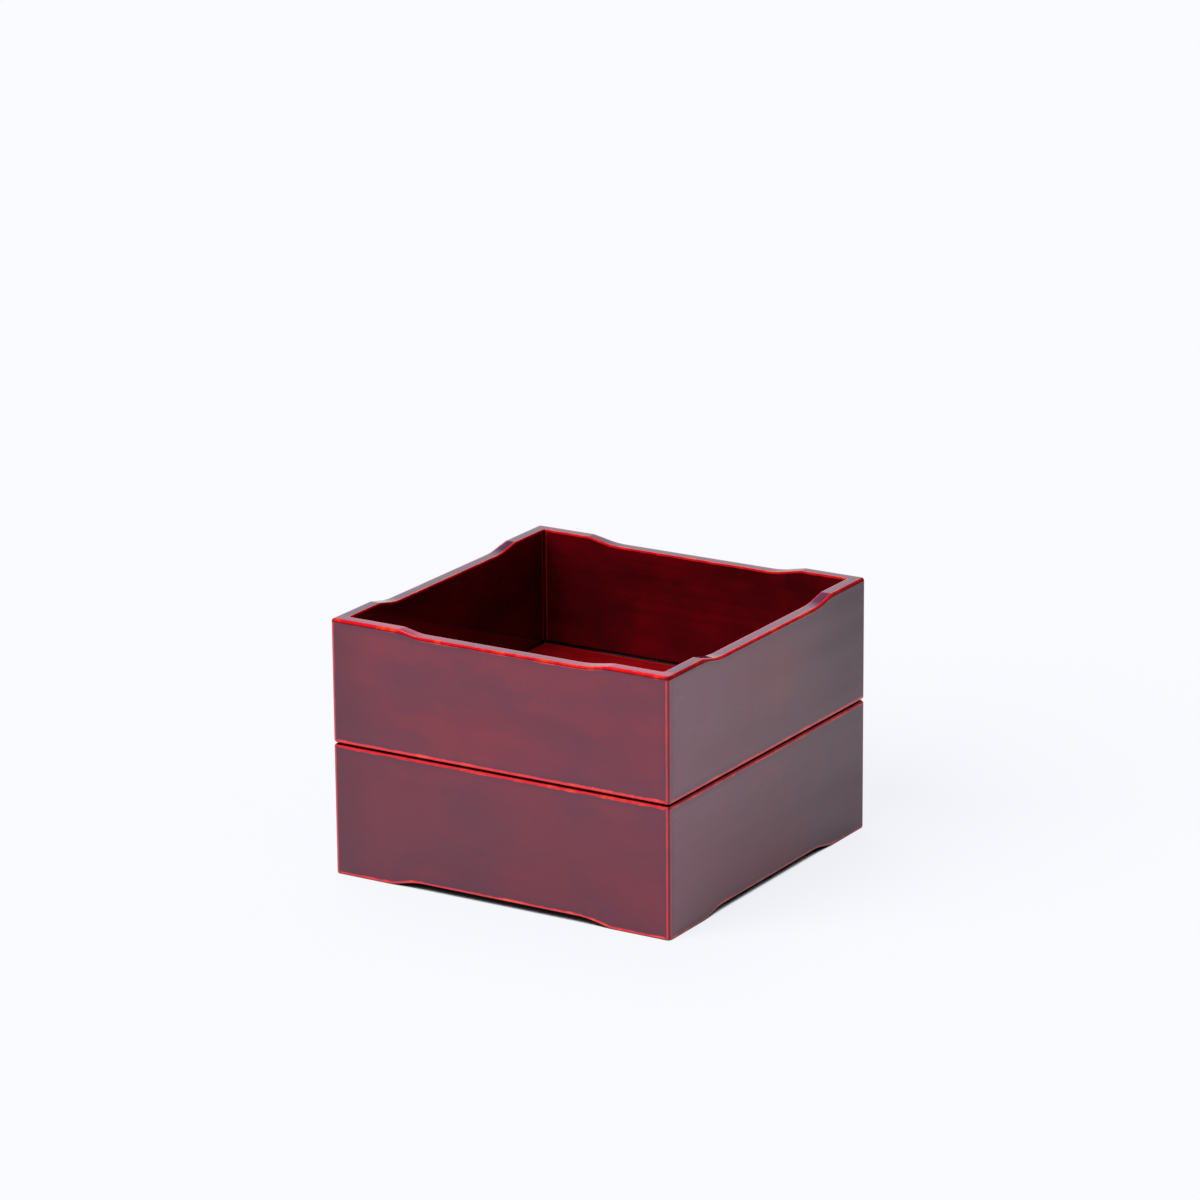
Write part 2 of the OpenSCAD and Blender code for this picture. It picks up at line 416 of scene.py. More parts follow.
def rounded_square(half, radius, height):
    """Ring of points round a square with rounded corners, CORNER_STEPS to each."""
    radius = max(radius, 0.05 * MM)
    ring = []
    for corner in range(4):
        for i in range(CORNER_STEPS + 1):
            angle = math.pi / 2 * (corner + i / CORNER_STEPS) + math.pi
            middle = math.pi / 2 * corner + math.pi * 1.25
            x = math.copysign(half - radius, math.cos(middle)) + radius * math.cos(angle)
            y = math.copysign(half - radius, math.sin(middle)) + radius * math.sin(angle)
            ring.append((x, y, height))
    return ring


def floor_rings(top, flange_low, low, flange_half, low_half):
    """(half width, corner radius, height) of each ring, from the middle of the top to the middle
    of the underside. Lacquer lies in the corner against the walls and curves up them."""
    rows = [(INNER_HALF - inset, 0, top) for inset in FLOOR_INSETS]
    for i in range(ARRIS_STEPS + 1):
        angle = math.pi / 2 * i / ARRIS_STEPS
        inset = POOL_R * (1 - math.sin(angle)) - POOL_SUNK
        rows.append((INNER_HALF - inset, POOL_R - inset, top + POOL_R * (1 - math.cos(angle))))
    rows += [
        (INNER_HALF + POOL_SUNK * 2, POOL_R, top + POOL_R),
        (INNER_HALF + POOL_SUNK * 2, POOL_R, top),
        (flange_half, 0, top),
        (flange_half, 0, flange_low),
        (low_half, 0, flange_low),
    ]
    for i in range(ARRIS_STEPS + 1):
        angle = math.pi / 2 * i / ARRIS_STEPS
        inset = FOOT_R * (1 - math.cos(angle))
        rows.append((low_half - inset, FOOT_R, low + FOOT_R * (1 - math.sin(angle))))
    rows += [(low_half - inset, 0, low) for inset in (3 * MM, 20 * MM)]
    return rows


def make_floor(tier, box, low_half, materials):
    """A lacquered floor board with its flange, its step below and the pooled corner above."""
    top, low = box[1][2], box[0][2]
    rows = floor_rings(top, top - FLANGE_T, low, box[1][0], low_half)
    rings = [rounded_square(*row) for row in rows]
    around = len(rings[0])
    points = np.array(rings).reshape(-1, 3)
    between, ends = ring_faces(len(rows), around)
    faces = between + ends
    measures = {name: np.full(len(points), FAR) for name in MEASURES}
    measures["sole"] = np.maximum(INNER_HALF - np.abs(points[:, :2]).max(axis=1), 0)
    # The pooled corner's rings have the second material
    level = len(FLOOR_INSETS)
    indices = [int(level <= f[0] // around < level + ARRIS_STEPS - 1) for f in between]
    return new_piece(
        f"{tier}_floor_lacquered", points, faces, area_normals(points, faces), measures,
        f"{tier}_tier", f"{tier}_floor", materials, indices + [0, 0],
    )


# Materials

def rgb(red, green, blue):
    """Colour for a socket, in linear light."""
    return (red, green, blue, 1.0)


# Undercoat, and where it is rubbed thinnest
VERMILION = rgb(0.62, 0.002, 0.006)
ORANGE = rgb(0.78, 0.04, 0.005)
# Outer coat: thinner and thicker places, and what clouds, streaks and flecks it
COAT_DEEP = rgb(0.085, 0.004, 0.018)
COAT_THIN = rgb(0.135, 0.004, 0.015)
COAT_CLOUD = rgb(0.18, 0.006, 0.010)
COAT_STREAK = rgb(0.055, 0.004, 0.015)
COAT_FLECK = rgb(0.24, 0.02, 0.025)
# Darker towards the left; painted shade low on the front face and towards the back of the right
# face, and a paler painted sheen on the right face by the front corner
FACE_DARK_AND_SHADE = rgb(0.045, 0.003, 0.010)
NEAR_PAINTED_SHEEN = rgb(0.160, 0.037, 0.063)
FAR_PAINTED_SHADE = rgb(0.03, 0.002, 0.006)
# Thicker, darker coat beside an arris
COAT_BESIDE_ARRIS = rgb(0.050, 0.006, 0.020)
# Lines along the upright arris and across a crease. In the seam, painted shade dims the rubbed line
# on the front, and where the tiers meet and under the foot black to brown is partly the dark
# lacquer there and partly painted shade
UPRIGHT_LINE = rgb(0.50, 0.006, 0.014)
UPRIGHT_CORE = rgb(0.05, 0.004, 0.010)
CREASE_LINE = rgb(0.5, 0.012, 0.014)
SEAM_FRONT_SHADE = rgb(0.06, 0.001, 0.003)
SEAM_SHADE_BLACK = rgb(0.004, 0.0004, 0.0006)
SEAM_SHADE_BROWN = rgb(0.030, 0.0015, 0.0025)
# The rim's top: a mauve painted sheen, different on its left, right and back sides, and worn on the
# front
RIM_PAINTED_SHEEN = rgb(0.045, 0.003, 0.040)
RIM_RIGHT_SHEEN = rgb(0.095, 0.008, 0.055)
RIM_BACK_SHEEN = rgb(0.085, 0.002, 0.034)
RIM_WORN = rgb(0.36, 0.010, 0.075)
# The rim's rubbed arrises
EDGE_FLECK = rgb(0.36, 0.003, 0.010)
EDGE_FADED = rgb(0.10, 0.004, 0.012)
# Painted shade on the right side's arris, along its land
EDGE_RIGHT_SHADE = rgb(0.20, 0.001, 0.004)
# Inside: brush streaks, rubbed arris, bright line, pooled black and dust
INNER_STREAK = rgb(0.03, 0.0004, 0.0008)
INNER_ARRIS = rgb(0.68, 0.010, 0.012)
INNER_LINE = rgb(0.55, 0.003, 0.006)
INNER_BLACK = rgb(0.0012, 0.0003, 0.0004)
DUST = rgb(0.45, 0.10, 0.12)

# Axis and direction of each outer face that has its own tint
FACE_AXES = {"front": ("Y", -1), "right": ("X", 1), "back": ("Y", 1)}
# Depths behind an outer face to which a tint is full, and from which there is none: for the face
# itself, for the arris above it and for the rim's whole width
FACE_SKIN = (0.1 * MM, 1.5 * MM)
ARRIS_SKIN = (1.4 * MM, 1.8 * MM)
RIM_SKIN = (6.6 * MM, 7.4 * MM)


class Nodes:
    """A short way to write a material's node tree."""

    def __init__(self, name):
        self.material = bpy.data.materials.new(name)
        self.material.use_nodes = True
        self.tree = self.material.node_tree
        self.shader = self.tree.nodes["Principled BSDF"]

    def add(self, kind, settings=None, **inputs):
        """A node with its settings and its inputs, by input name with spaces as underscores."""
        node = self.tree.nodes.new("ShaderNode" + kind)
        for label, value in (settings or {}).items():
            setattr(node, label, value)
        for label, value in inputs.items():
            self.feed(node.inputs[label.replace("_", " ")], value)
        return node

    def feed(self, socket, value):
        """Links a socket to another, or sets its value."""
        if isinstance(value, bpy.types.NodeSocket):
            self.tree.links.new(value, socket)
        elif value is not None:
            socket.default_value = value

    def math(self, operation, first, second=None, clamp=False):
        """A value, or two values put together, by an operation of the Math node."""
        node = self.add("Math", {"operation": operation, "use_clamp": clamp})
        self.feed(node.inputs[0], first)
        self.feed(node.inputs[1], second)
        return node.outputs[0]

    def mix(self, share, first, second):
        """Colour mixed from the first to the second as the share goes from 0 to 1."""
        node = self.add("Mix", {"data_type": "RGBA", "clamp_factor": True})
        self.feed(node.inputs["Factor"], share)
        colours = [socket for socket in node.inputs if socket.type == "RGBA"]
        self.feed(colours[0], first)
        self.feed(colours[1], second)
        return [socket for socket in node.outputs if socket.type == "RGBA"][0]

    def ramp(self, value, low, high, to_low=0.0, to_high=1.0):
        """Smooth step of a value between two limits."""
        node = self.add("MapRange", {"interpolation_type": "SMOOTHSTEP"}, Value=value)
        limits = (("From Min", low), ("From Max", high), ("To Min", to_low), ("To Max", to_high))
        for label, limit in limits:
            self.feed(node.inputs[label], limit)
        return node.outputs["Result"]

    def measure(self, name):
        """A measure that the mesh carries, in millimetres."""
        return self.add("Attribute", {"attribute_name": name}).outputs["Fac"]

    def noise(self, place, scale, detail, roughness=0.5):
        """Noise with a period of about 1 / scale, in metres where the place isn't stretched."""
        node = self.add(
            "TexNoise", Vector=place, Scale=scale, Detail=detail, Roughness=roughness
        )
        return node.outputs["Fac"]

    def wander(self):
        """Noise that makes the rubbed lines wander, the same in every material."""
        return self.noise(self.place((1, 1, 1), (2, 1, 4)), 110.0, 4.0, 0.65)

    def fine(self):
        """Finest unevenness of the lacquer's surface."""
        return self.noise(self.place(), 700.0, 2.0, 0.6)

    def place(self, stretch=(1, 1, 1), shift=(0, 0, 0)):
        """Place on the object in metres, stretched and shifted."""
        coordinate = self.add("TexCoord").outputs["Object"]
        mapping = self.add("Mapping", Vector=coordinate, Scale=stretch, Location=shift)
        return mapping.outputs["Vector"]

    def rubbed(self, way, wander, middle, reach):
        """Share of undercoat beside the middle of an arris, its width wandering along it."""
        off = self.math("ABSOLUTE", self.math("SUBTRACT", way, middle))
        width = self.ramp(wander, 0.3, 0.7, reach * 0.55, reach)
        share = self.math("SUBTRACT", 1.0, self.math("DIVIDE", off, width), clamp=True)
        return self.ramp(share, 0.0, 0.6)

    def undercoat(self, wander):
        """Vermilion that turns to orange where it is rubbed thinnest."""
        return self.mix(self.ramp(wander, 0.5, 0.68), VERMILION, ORANGE)

    def spread(self, low, high, to_low, to_high, axis):
        """Value that goes from one to another between two places along an axis, in metres."""
        split = self.add("SeparateXYZ", Vector=self.place())
        return self.ramp(split.outputs[axis], low, high, to_low, to_high)

    def by_face(self, side, full, none):
        """1 at an outer face, down to one depth behind it, and 0 from another depth on."""
        axis, sign = FACE_AXES[side]
        if sign < 0:
            return self.spread(full - HALF, none - HALF, 1.0, 0.0, axis)
        return self.spread(HALF - none, HALF - full, 0.0, 1.0, axis)

    def dust(self, amount):
        """Sparse specks of dust: 1 on a speck, 0 elsewhere."""
        cells = self.add("TexVoronoi", Vector=self.place(), Scale=160.0)
        speck = self.ramp(cells.outputs["Distance"], 0.04, 0.08, 1.0, 0.0)
        draw = self.math("FRACT", self.math("MULTIPLY", cells.outputs["Color"], 7.31))
        return self.math("MULTIPLY", speck, self.math("GREATER_THAN", draw, 1 - amount))

    def bump(self, height, strength, distance, below=None):
        """Normal of a bumpy surface, laid over another normal where one is given."""
        node = self.add("Bump", Strength=strength, Distance=distance, Height=height, Normal=below)
        return node.outputs["Normal"]


def coat_colour(n, broad, streak, fine):
    """The outer coat's own red, clouded, faintly streaked and flecked."""
    cloud = n.noise(n.place((1, 1, 2), (4, 2, 7)), 40.0, 2.0)
    red = n.mix(n.ramp(broad, 0.3, 0.7), COAT_DEEP, COAT_THIN)
    red = n.mix(n.ramp(cloud, 0.45, 0.75, 0.0, 0.4), red, COAT_CLOUD)
    red = n.mix(n.ramp(streak, 0.45, 0.8, 0.0, 0.14), red, COAT_STREAK)
    return n.mix(n.ramp(fine, 0.55, 0.85, 0.0, 0.12), red, COAT_FLECK)


def far_shade_share(n):
    """How much painted shade darkens the right face towards the back, most of all high up."""
    far = n.math("MULTIPLY", n.by_face("right", *FACE_SKIN), n.spread(0.0, HALF, 0.0, 0.6, "Y"))
    return n.math("MULTIPLY", far, n.spread(40 * MM, 110 * MM, 0.75, 1.3, "Z"))


def paint_face_light(n, red, front, far):
    """Darker towards the left, with painted shade low on the front and far back on the right face,
    and a paler painted sheen on the right face by the front corner.
    """
    red = n.mix(n.spread(-HALF, -60 * MM, 0.6, 0.0, "X"), red, FACE_DARK_AND_SHADE)
    low = n.math("MULTIPLY", front, n.spread(30 * MM, 85 * MM, 0.35, 0.0, "Z"))
    red = n.mix(low, red, FACE_DARK_AND_SHADE)
    right = n.by_face("right", *FACE_SKIN)
    near = n.math("MULTIPLY", right, n.spread(-HALF, 20 * MM, 1.0, 0.0, "Y"))
    red = n.mix(near, red, NEAR_PAINTED_SHEEN)
    return n.mix(far, red, FAR_PAINTED_SHADE)


def rub_arrises_and_paint_light(n, red, wander, front):
    """Lacquer is thicker and darker beside an arris, and rubbed through along both its sides; the
    rim's top gets its painted sheen, and the seam and the foot's underside painted shade.
    """
    arris_way, upright = n.measure("arris"), n.measure("upright")
    on_top, groove = n.measure("on_top"), n.measure("groove")
    edge = n.math("MINIMUM", arris_way, upright)
    uneven_edge = n.math("ADD", edge, n.math("MULTIPLY", wander, 2.0))
    red = n.mix(n.ramp(uneven_edge, 1.8, 5.5, 0.6, 0.0), red, COAT_BESIDE_ARRIS)
    # The rim's top takes its mauve painted sheen
    red = n.mix(n.ramp(on_top, 0.9, 1.0), red, rim_top(n, upright))
    rubbed = n.rubbed(arris_way, wander, 0.3, 1.5)
    rubbed = n.math("MULTIPLY", rubbed, n.ramp(upright, 0.5, 3.5))
    red = n.mix(rubbed, red, n.undercoat(wander))
    # Painted shade dims the seam's rubbed line on the front
    seam = n.mix(n.math("MULTIPLY", front, 0.22), n.undercoat(wander), SEAM_FRONT_SHADE)
    red = n.mix(n.ramp(groove, 0.05, 0.3), red, seam)
    red = n.mix(n.rubbed(upright, wander, 0.95, 0.7), red, UPRIGHT_LINE)
    red = n.mix(n.ramp(upright, 0.25, 0.6, 0.85, 0.0), red, UPRIGHT_CORE)

    # A crease is rubbed too, but only across the top of the rim
    crease = n.math("ADD", n.measure("crease"), n.math("MULTIPLY", wander, 0.5))
    crease = n.math("MULTIPLY", n.ramp(crease, 0.3, 0.8, 0.8, 0.0), n.ramp(on_top, 0.5, 1.0))
    red = n.mix(crease, red, CREASE_LINE)
    # Black to brown where the tiers meet and under the foot, partly the dark lacquer there and
    # partly painted shade
    black = n.mix(n.ramp(wander, 0.35, 0.65), SEAM_SHADE_BLACK, SEAM_SHADE_BROWN)
    return n.mix(n.ramp(groove, 0.48, 0.62), red, black)


def outer_lacquer():
    """Satin red lacquer over a vermilion undercoat that shows where the arrises are rubbed, with
    painted shade and sheen on its faces, its rim's top and its seam.
    """
    n = Nodes("Outer_lacquer")
    on_top, groove = n.measure("on_top"), n.measure("groove")
    broad = n.noise(n.place((1, 1, 1.6)), 16.0, 3.0)
    streak = n.noise(n.place((6, 6, 110), (3, 5, 0)), 1.0, 2.0)
    fine = n.fine()
    front = n.by_face("front", *FACE_SKIN)
    # Painted shade on the right face towards its back, then painted shade and sheen on the faces
    # over the coat's own red
    far = far_shade_share(n)
    red = paint_face_light(n, coat_colour(n, broad, streak, fine), front, far)
    n.feed(n.shader.inputs["Base Color"], rub_arrises_and_paint_light(n, red, n.wander(), front))

    # The rim's top is glossier, the seam and the far end of the right face duller
    streaked = n.ramp(streak, 0.3, 0.8, 0.27, 0.34)
    rough = n.math("ADD", streaked, n.ramp(broad, 0.3, 0.7, -0.02, 0.03))
    rough = n.math("MULTIPLY", rough, n.ramp(on_top, 0.2, 0.9, 1.0, 0.25))
    rough = n.math("ADD", rough, n.ramp(groove, 0.5, 0.9, 0.0, 0.5))
    rough = n.math("ADD", rough, n.math("MULTIPLY", far, 0.2))
    n.feed(n.shader.inputs["Roughness"], rough)
    n.shader.inputs["IOR"].default_value = 1.67
    n.shader.inputs["Specular Tint"].default_value = rgb(0.90, 0.85, 1.0)
    waves = n.bump(n.noise(n.place(), 60.0, 2.0), n.ramp(on_top, 0.2, 0.9, 0.25, 0.07), 0.0004)
    n.feed(n.shader.inputs["Normal"], n.bump(fine, 0.10, 0.00006, waves))
    return n.material


def rim_top(n, upright):
    """Colour of the rim's top: a mauve painted sheen, its own on the right and the back sides, and
    on the front board rubbed redder, above all on its lands."""
    front = n.by_face("front", *RIM_SKIN)
    worn = n.math("MULTIPLY", front, n.ramp(upright, 28.0, 75.0, 1.0, 0.4))
    worn = n.math("MULTIPLY", worn, n.spread(-HALF, -65 * MM, 0.25, 1.0, "X"))
    mauve = n.mix(n.by_face("right", *RIM_SKIN), RIM_PAINTED_SHEEN, RIM_RIGHT_SHEEN)
    mauve = n.mix(n.by_face("back", *RIM_SKIN), mauve, RIM_BACK_SHEEN)
    return n.mix(worn, mauve, RIM_WORN)


def rubbed_edge():
    """Dull bare undercoat on the arrises of the rim, orange in places, with painted shade on the
    right side's land.
    """
    n = Nodes("Rubbed_edge")
    wander, fine = n.wander(), n.fine()
    on_top, upright = n.measure("on_top"), n.measure("upright")
    red = n.mix(n.ramp(fine, 0.5, 0.8, 0.0, 0.3), n.undercoat(wander), EDGE_FLECK)
    # It fades into the face below, and into the corner
    uneven = n.math("MULTIPLY", n.math("SUBTRACT", wander, 0.5), 0.3)
    below = n.math("ADD", on_top, uneven)
    red = n.mix(n.ramp(below, 0.05, 0.45, 1.0, 0.0), red, EDGE_FADED)
    red = n.mix(n.ramp(upright, 0.5, 3.5, 0.75, 0.0), red, EDGE_FADED)
    # Painted shade darkens the right side's arris along its land
    right = n.by_face("right", *ARRIS_SKIN)
    land = n.math("MULTIPLY", right, n.ramp(upright, 26.0, 36.0, 0.7, 0.0))
    n.feed(n.shader.inputs["Base Color"], n.mix(land, red, EDGE_RIGHT_SHADE))
    n.feed(n.shader.inputs["Roughness"], n.ramp(fine, 0.2, 0.8, 0.42, 0.55))
    n.shader.inputs["Specular IOR Level"].default_value = 0.06
    n.feed(n.shader.inputs["Normal"], n.bump(fine, 0.15, 0.00008))
    return n.material


def inner_lacquer(name, stretch, light, dark, sole_black, sole_bright):
    """Glossy deep red lacquer, brushed, with black pooled in the corners. The last two say how
    far from the corner along the floor the black reaches, and the bright line, if there is one."""
    n = Nodes(name)
    arris_way, corner, sole = n.measure("arris"), n.measure("corner"), n.measure("sole")
    broad = n.noise(n.place((1, 1, 1.4), (5, 2, 1)), 26.0, 4.0, 0.6)
    streak = n.noise(n.place(stretch, (1, 7, 3)), 1.0, 4.0, 0.6)
    red = n.mix(n.ramp(broad, 0.3, 0.7), dark, light)
    red = n.mix(n.ramp(streak, 0.4, 0.75, 0.0, 0.4), red, INNER_STREAK)
    wander = n.wander()
    red = n.mix(n.rubbed(arris_way, wander, 0.35, 0.8), red, INNER_ARRIS)

    # Black lies in the corners, with a line of brighter red where it ends
    uneven = n.math("MULTIPLY", n.math("SUBTRACT", wander, 0.5), 0.6)
    for way, dark_to, bright_to in ((corner, 0.75, 1.9), (sole, sole_black, sole_bright)):
        way = n.math("ADD", way, uneven)
        if bright_to:
            starts = n.ramp(way, dark_to, dark_to + 0.3)
            ends = n.ramp(way, bright_to - 0.7, bright_to, 0.75, 0.0)
            red = n.mix(n.math("MULTIPLY", starts, ends), red, INNER_LINE)
        black = n.ramp(way, dark_to, dark_to + 0.35, 1.0, 0.0)
        red = n.mix(black, red, INNER_BLACK)
    specks = n.dust(0.03)
    red = n.mix(n.math("MULTIPLY", specks, 0.5), red, DUST)
    n.feed(n.shader.inputs["Base Color"], red)
    rough = n.math("ADD", n.ramp(streak, 0.3, 0.8, 0.07, 0.15), n.math("MULTIPLY", specks, 0.3))
    n.feed(n.shader.inputs["Roughness"], rough)
    n.shader.inputs["IOR"].default_value = 1.52
    waves = n.bump(n.noise(n.place((1, 1, 2)), 45.0, 2.0), 0.25, 0.0004)
    n.feed(n.shader.inputs["Normal"], n.bump(streak, 0.04, 0.00003, waves))
    return n.material


def pooled_lacquer():
    """Black lacquer that lies in the corners of the floor and glints where it is smoothest."""
    n = Nodes("Pooled_lacquer")
    smooth = n.noise(n.place((1, 1, 1), (3, 1, 2)), 24.0, 2.0)
    black = n.mix(smooth, rgb(0.001, 0.0012, 0.0014), rgb(0.004, 0.005, 0.006))
    n.feed(n.shader.inputs["Base Color"], black)
    n.feed(n.shader.inputs["Roughness"], n.ramp(smooth, 0.42, 0.6, 0.45, 0.04))
    n.shader.inputs["IOR"].default_value = 1.8
    n.feed(n.shader.inputs["Normal"], n.bump(n.noise(n.place(), 260.0, 2.0), 0.3, 0.0002))
    return n.material


def tongue_wood():
    """Bare pale wood with upright grain."""
    n = Nodes("Tongue_wood")
    grain = n.noise(n.place((520, 520, 18)), 1.0, 5.0, 0.6)
    pores = n.noise(n.place((1800, 1800, 60)), 1.0, 2.0)
    colour = n.mix(n.ramp(grain, 0.3, 0.7), rgb(0.62, 0.42, 0.21), rgb(0.40, 0.23, 0.10))
    colour = n.mix(n.ramp(pores, 0.55, 0.8, 0.0, 0.5), colour, rgb(0.22, 0.12, 0.05))
    n.feed(n.shader.inputs["Base Color"], colour)
    n.feed(n.shader.inputs["Roughness"], n.ramp(grain, 0.2, 0.8, 0.55, 0.75))
    n.feed(n.shader.inputs["Normal"], n.bump(grain, 0.3, 0.0002))
    return n.material


# The whole box

SIDES = ("front", "right", "back", "left")
CORNERS = ("front_left", "front_right", "back_right", "back_left")


def dress_tongues(tier, wood):
    """Bare wood for the CAD's own tongues, which only need a material."""
    for corner in CORNERS:
        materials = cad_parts[f"{tier}_{corner}_tongue"].data.materials
        materials.clear()
        materials.append(wood)


def make_box():
    """Both tiers, every wall and floor in place of its CAD node."""
    outer = outer_lacquer()
    edge = rubbed_edge()
    inner = inner_lacquer(
        "Inner_lacquer", (8, 8, 350), rgb(0.095, 0.0010, 0.0030), rgb(0.040, 0.0012, 0.0026),
        1.5, None
    )
    board = inner_lacquer(
        "Floor_lacquer", (8, 350, 8), rgb(0.36, 0.005, 0.008), rgb(0.25, 0.003, 0.006),
        0.5, 2.7
    )
    pool = pooled_lacquer()
    wood = tongue_wood()
    lower = np.array([lower_section()] * 2)
    upper = np.array([upper_section(RIM_OUTER_R), upper_section(SCOOP_OUTER_R)])
    forms = (
        ("lower", lower, FOOT_ARCH, LOWER_FLOOR[1][2]),
        ("upper", upper, RIM_SCOOP, UPPER_FLOOR[1][2]),
    )
    for tier, sections, scoop, floor_top in forms:
        for quarter, side in enumerate(SIDES):
            scoops = (scoop, scoop)
            if (tier, side) == ("upper", "front"):
                scoops = (FRONT_LEFT_SCOOP, FRONT_RIGHT_SCOOP)
            make_wall(tier, side, quarter, sections, scoops, floor_top, [outer, inner, edge])
        dress_tongues(tier, wood)
    make_floor("lower", LOWER_FLOOR, INNER_HALF, [board, pool])
    make_floor("upper", UPPER_FLOOR, INNER_HALF - STEP_GAP, [board, pool])


# Studio

SURROUND = (0.94, 0.95, 0.985, 1.0)
FLOOR_COLOUR = (0.93, 0.95, 0.995, 1.0)
# Share of the floor's look that is plain background; the rest takes light and shadow. It falls
# where the box closes the floor in from less than FLOOR_NEAR above, and is less when mirrored.
FLOOR_PLAIN = 0.88
FLOOR_MIRRORED = 0.55
FLOOR_NEAR = 14 * MM
# How open the floor is, by ambient occlusion, where its painted shadow ends and where its plain
# look begins
DARK_FROM, DARK_TO = 0.31, 0.46
PLAIN_FROM, PLAIN_TO = 0.28, 0.5
FLOOR_REACH = 6.0


def seen_rays(tree, mirrored=1.0):
    """1 for rays from the camera or a lens, which see the pale background itself, and the given
    share for rays from a mirror."""
    path = tree.nodes.new("ShaderNodeLightPath")
    total = path.outputs["Is Camera Ray"]
    for kind, share in (("Is Glossy Ray", mirrored), ("Is Transmission Ray", 1.0)):
        add = tree.nodes.new("ShaderNodeMath")
        add.operation = "MULTIPLY_ADD"
        add.use_clamp = True
        tree.links.new(path.outputs[kind], add.inputs[0])
        add.inputs[1].default_value = share
        tree.links.new(total, add.inputs[2])
        total = add.outputs[0]
    return total


def make_ground():
    """Plain pale floor that keeps the box's soft shadow, with a painted shadow under the box."""
    n = Nodes("Pale_floor")
    soft = n.noise(n.place(), 1.5, 2.0)
    colour = n.mix(soft, rgb(0.90, 0.88, 0.88), rgb(0.92, 0.90, 0.90))
    closed = n.add("AmbientOcclusion", {"samples": 16}, Distance=FLOOR_NEAR)
    # Painted shadow: the floor's colour goes nearly black where the box closes it in
    painted_under_shadow = n.ramp(closed.outputs["AO"], DARK_FROM, DARK_TO, 0.97, 0.0)
    n.feed(n.shader.inputs["Base Color"], n.mix(painted_under_shadow, colour, rgb(0.02, 0.012, 0.016)))
    n.shader.inputs["Roughness"].default_value = 0.9
    n.shader.inputs["Specular IOR Level"].default_value = 0.0
    plain = n.add("Emission", Color=FLOOR_COLOUR, Strength=1.0)
    open_share = n.ramp(closed.outputs["AO"], PLAIN_FROM, PLAIN_TO)
    share = n.math("MULTIPLY", seen_rays(n.tree, FLOOR_MIRRORED), FLOOR_PLAIN)
    share = n.math("MULTIPLY", share, open_share)
    mixed = n.tree.nodes.new("ShaderNodeMixShader")
    n.tree.links.new(share, mixed.inputs[0])
    n.tree.links.new(n.shader.outputs[0], mixed.inputs[1])
    n.tree.links.new(plain.outputs[0], mixed.inputs[2])
    n.tree.links.new(mixed.outputs[0], n.tree.nodes["Material Output"].inputs["Surface"])
    reach = FLOOR_REACH
    corners = [(-reach, -reach, 0), (reach, -reach, 0), (reach, reach, 0), (-reach, reach, 0)]
    mesh = bpy.data.meshes.new("ground")
    mesh.from_pydata(corners, [], [(0, 1, 2, 3)])
    mesh.materials.append(n.material)
    ground = bpy.data.objects.new("ground", mesh)
    bpy.context.scene.collection.objects.link(ground)


# Sine of the heights above the horizon between which the studio's pale walls give way to its dim
# ceiling, and how bright that ceiling is
CEILING_FROM, CEILING_TO, CEILING = 0.42, 0.62, 0.30
# Strength of the surround as a light
AMBIENT = 0.28


def light_world():
    """Dim surround for lighting; seen directly or mirrored, pale walls under a dimmer ceiling."""
    world = bpy.data.worlds.new("Studio")
    bpy.context.scene.world = world
    world.use_nodes = True
    tree = world.node_tree
    shown = tree.nodes["Background"]
    shown.inputs["Color"].default_value = SURROUND
    towards = tree.nodes.new("ShaderNodeTexCoord")
    split = tree.nodes.new("ShaderNodeSeparateXYZ")
    tree.links.new(towards.outputs["Generated"], split.inputs[0])
    fade = tree.nodes.new("ShaderNodeMapRange")
    fade.interpolation_type = "SMOOTHSTEP"
    tree.links.new(split.outputs["Z"], fade.inputs["Value"])
    limits = (CEILING_FROM, CEILING_TO, 1.0, CEILING)
    for label, limit in zip(("From Min", "From Max", "To Min", "To Max"), limits):
        fade.inputs[label].default_value = limit
    tree.links.new(fade.outputs["Result"], shown.inputs["Strength"])
    dim = tree.nodes.new("ShaderNodeBackground")
    dim.inputs["Color"].default_value = SURROUND
    dim.inputs["Strength"].default_value = AMBIENT
    mixed = tree.nodes.new("ShaderNodeMixShader")
    tree.links.new(seen_rays(tree), mixed.inputs[0])
    tree.links.new(dim.outputs[0], mixed.inputs[1])
    tree.links.new(shown.outputs[0], mixed.inputs[2])
    tree.links.new(mixed.outputs[0], tree.nodes["World Output"].inputs["Surface"])


def direction(turn, rise):
    """Unit vector by degrees round from the front, towards the right, and degrees upward."""
    turn, rise = math.radians(turn), math.radians(rise)
    return Vector((
        math.sin(turn) * math.cos(rise), -math.cos(turn) * math.cos(rise), math.sin(rise)
    ))


def light_from(name, turn, rise, energy, spread, mirrored=True):
    """Large soft light from far away."""
    lamp = bpy.data.lights.new(name, "SUN")
    lamp.energy = energy
    lamp.angle = math.radians(spread)
    sun = bpy.data.objects.new(name, lamp)
    sun.rotation_euler = direction(turn, rise).to_track_quat("Z", "Y").to_euler()
    sun.visible_glossy = mirrored
    bpy.context.scene.collection.objects.link(sun)


# The pale wall behind the box leaves this much of the room, in degrees round from the front
CURTAIN_FROM, CURTAIN_TO = -110, 165
CURTAIN_AWAY, CURTAIN_HIGH = 3.6, 4.4
CURTAIN_STEPS = 48


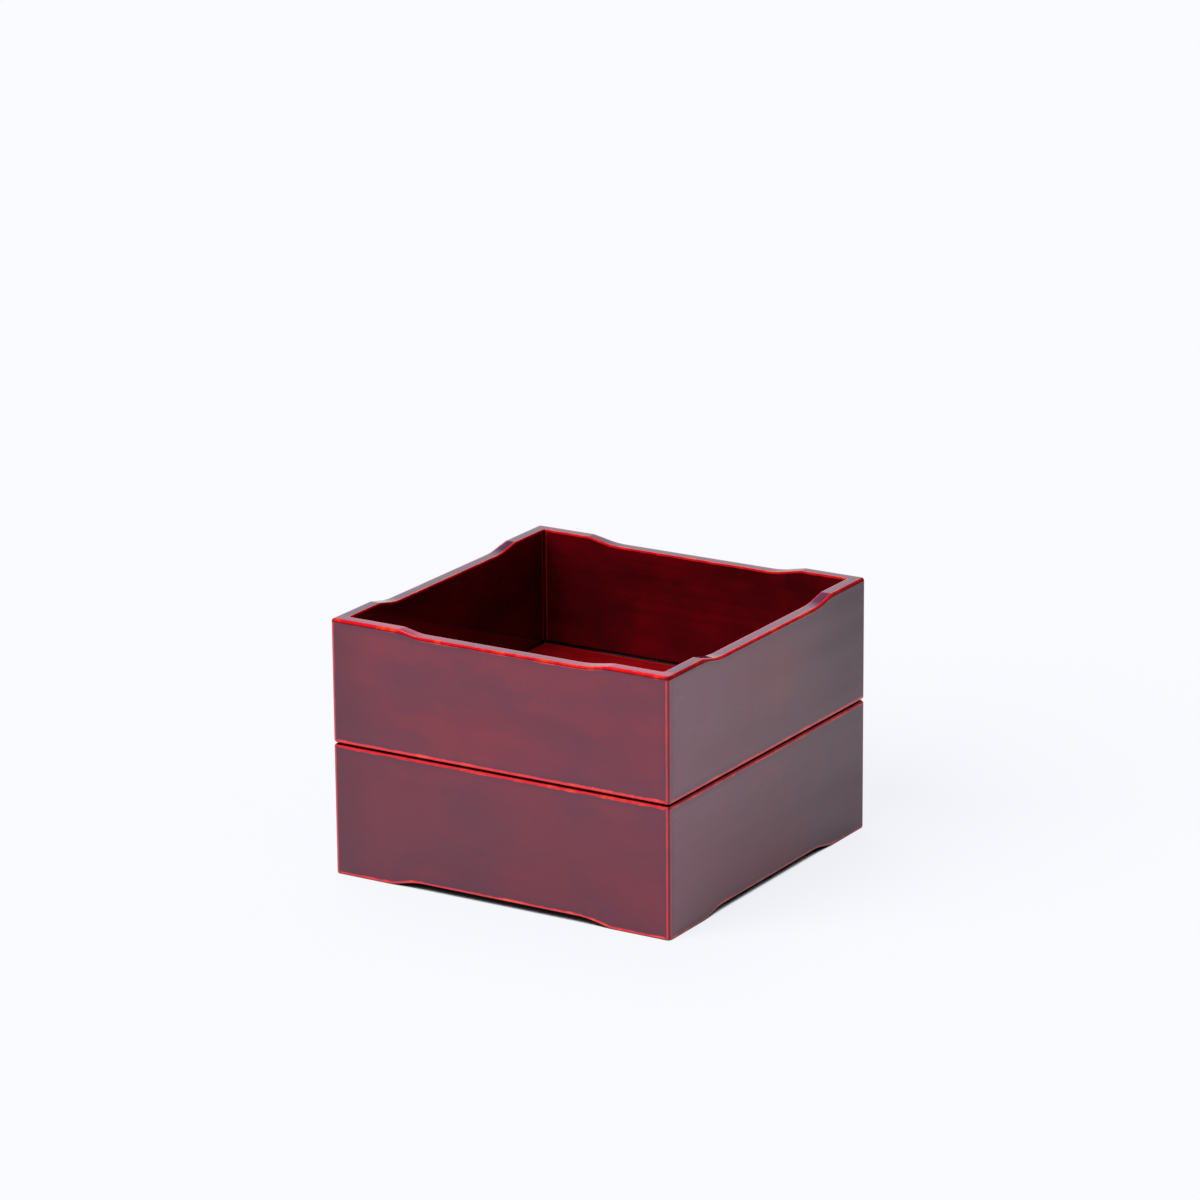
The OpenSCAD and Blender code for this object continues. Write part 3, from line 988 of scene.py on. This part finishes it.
def hang_curtain():
    """Dark curtain round the rest of the room, seen only mirrored in the lacquer."""
    n = Nodes("Dark_curtain")
    folds = n.noise(n.place((1, 1, 0)), 6.0, 2.0)
    dark = n.mix(folds, rgb(0.01, 0.01, 0.012), rgb(0.02, 0.02, 0.024))
    n.feed(n.shader.inputs["Base Color"], dark)
    n.shader.inputs["Roughness"].default_value = 0.95
    steps = CURTAIN_STEPS
    low, high = [], []
    for i in range(steps + 1):
        turn = CURTAIN_FROM + (CURTAIN_TO - CURTAIN_FROM) * i / steps
        place = direction(turn, 0) * CURTAIN_AWAY
        low.append((place.x, place.y, 0.0))
        high.append((place.x, place.y, CURTAIN_HIGH))
    faces = [(i, i + 1, steps + 2 + i, steps + 1 + i) for i in range(steps)]
    mesh = bpy.data.meshes.new("curtain")
    mesh.from_pydata(low + high, [], faces)
    mesh.materials.append(n.material)
    curtain = bpy.data.objects.new("curtain", mesh)
    bpy.context.scene.collection.objects.link(curtain)
    curtain.visible_camera = False
    curtain.visible_diffuse = False
    curtain.visible_shadow = False
    curtain.visible_transmission = False


# Camera, matched to the photograph
CAMERA_TURN = 31.61
CAMERA_RISE = 16.76
CAMERA_ROLL = -0.482
CAMERA_AWAY = 2.4616
CAMERA_AIM = (-0.00937, 0.01439, 0.11700)
CAMERA_LENS = 158.59


def make_camera():
    """Camera on the axis that looks at CAMERA_AIM, rolled a little."""
    back = direction(CAMERA_TURN, CAMERA_RISE)
    level = direction(CAMERA_TURN + 90, 0)
    upward = back.cross(level)
    roll = math.radians(CAMERA_ROLL)
    right = math.cos(roll) * level + math.sin(roll) * upward
    up = math.cos(roll) * upward - math.sin(roll) * level
    lens = bpy.data.cameras.new("Camera")
    lens.sensor_width = 36
    lens.lens = CAMERA_LENS
    lens.clip_start, lens.clip_end = 0.05, 50
    camera = bpy.data.objects.new("Camera", lens)
    camera.matrix_world = Matrix((right, up, back)).transposed().to_4x4()
    camera.location = Vector(CAMERA_AIM) + CAMERA_AWAY * back
    bpy.context.scene.collection.objects.link(camera)
    bpy.context.scene.camera = camera


make_box()
make_ground()
light_world()
light_from("Soft_key", -20, 40, 3.6, 50, mirrored=False)
light_from("Soft_top", -140, 62, 0.7, 26)
hang_curtain()
make_camera()
bpy.context.scene.view_settings.view_transform = "Standard"
